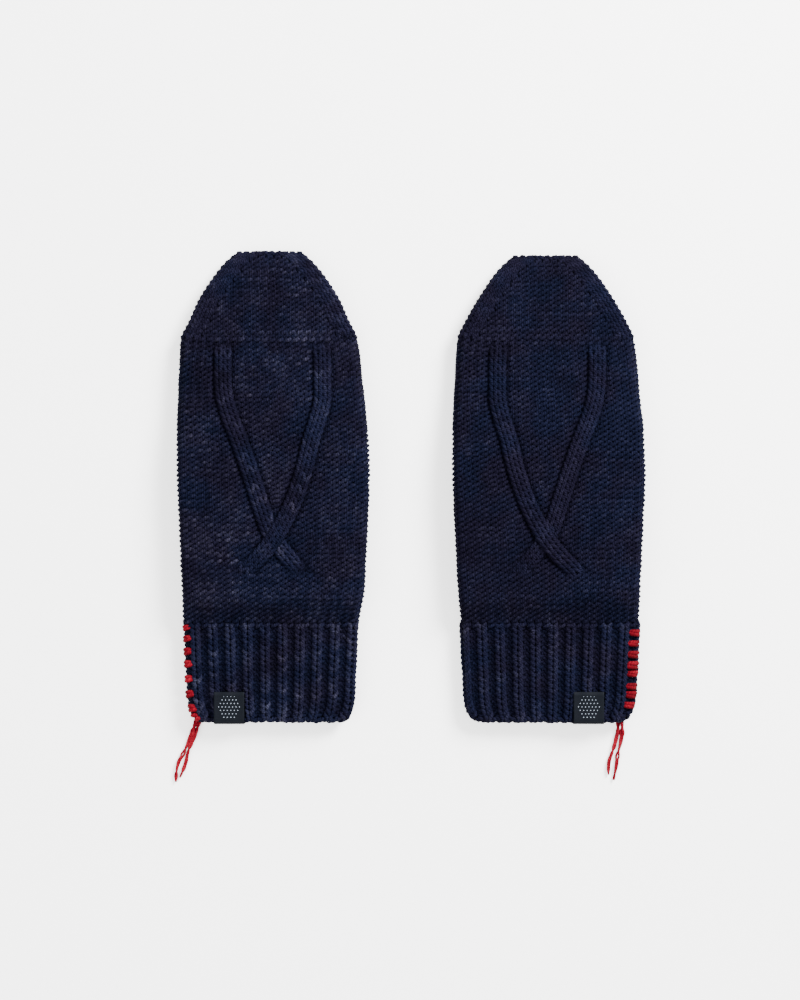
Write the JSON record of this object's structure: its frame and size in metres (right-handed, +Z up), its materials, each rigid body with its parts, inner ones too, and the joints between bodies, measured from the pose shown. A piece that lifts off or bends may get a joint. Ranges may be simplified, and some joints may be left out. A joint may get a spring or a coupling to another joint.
{
  "type": "convertible flip-top mittens",
  "caption": "Knitted mittens, left and right, with ribbed cuffs, crossing cables on the back and a hood that folds back at the knuckles to free the fingers.",
  "frame": {"origin": "centre of the pair, on the surface that it lies on", "axes": "+X towards the right-hand mitten, +Y from the hems to the fingertips, +Z up from the palms to the backs"},
  "size_m": [0.2505, 0.2845, 0.0193],
  "materials": {
    "navy_yarn": "matt knitted wool yarn",
    "red_thread": "soft twisted yarn",
    "woven_label": "woven satin tape",
    "label_dots": "woven light thread"
  },
  "bodies": {
    "left_mitten": {"left_cuff": "navy_yarn", "left_hand_back": "navy_yarn", "left_hand_palm": "navy_yarn", "left_palm_rib": "navy_yarn", "left_cable_over": "navy_yarn", "left_cable_under": "navy_yarn", "left_seam_stitches": "red_thread", "left_label": "woven_label", "left_label_motif": "label_dots", "left_tail_long": "red_thread", "left_tail_short": "red_thread"},
    "left_hood": {"left_hood_back": "navy_yarn", "left_hood_palm": "navy_yarn", "left_hood_rib": "navy_yarn", "left_tip_bands": "navy_yarn", "left_hood_cable_inner": "navy_yarn", "left_hood_cable_outer": "navy_yarn"},
    "left_thumb": {"left_thumb": "navy_yarn"},
    "right_mitten": {"right_cuff": "navy_yarn", "right_hand_back": "navy_yarn", "right_hand_palm": "navy_yarn", "right_palm_rib": "navy_yarn", "right_cable_over": "navy_yarn", "right_cable_under": "navy_yarn", "right_seam_stitches": "red_thread", "right_label": "woven_label", "right_label_motif": "label_dots", "right_tail_long": "red_thread", "right_tail_short": "red_thread"},
    "right_hood": {"right_hood_back": "navy_yarn", "right_hood_palm": "navy_yarn", "right_hood_rib": "navy_yarn", "right_tip_bands": "navy_yarn", "right_hood_cable_inner": "navy_yarn", "right_hood_cable_outer": "navy_yarn"},
    "right_thumb": {"right_thumb": "navy_yarn"}
  },
  "joints": [
    {"name": "left_hood_fold", "type": "hinge", "parent": "left_mitten", "child": "left_hood", "pos_m": [-0.073, 0.02185, 0.0197], "axis": [1, 0, 0], "range_deg": [0, 178]},
    {"name": "left_thumb_swing", "type": "hinge", "parent": "left_mitten", "child": "left_thumb", "pos_m": [-0.043, -0.04315, 0], "axis": [0, 0, -1], "range_deg": [0, 95]},
    {"name": "right_hood_fold", "type": "hinge", "parent": "right_mitten", "child": "right_hood", "pos_m": [0.073, 0.02185, 0.0197], "axis": [1, 0, 0], "range_deg": [0, 178]},
    {"name": "right_thumb_swing", "type": "hinge", "parent": "right_mitten", "child": "right_thumb", "pos_m": [0.043, -0.04315, 0], "axis": [0, 0, 1], "range_deg": [0, 95]},
    {"name": "right_mitten_lift", "type": "slide", "parent": "left_mitten", "child": "right_mitten", "axis": [0, 0, 1], "range_m": [0, 0.08]}
  ]
}
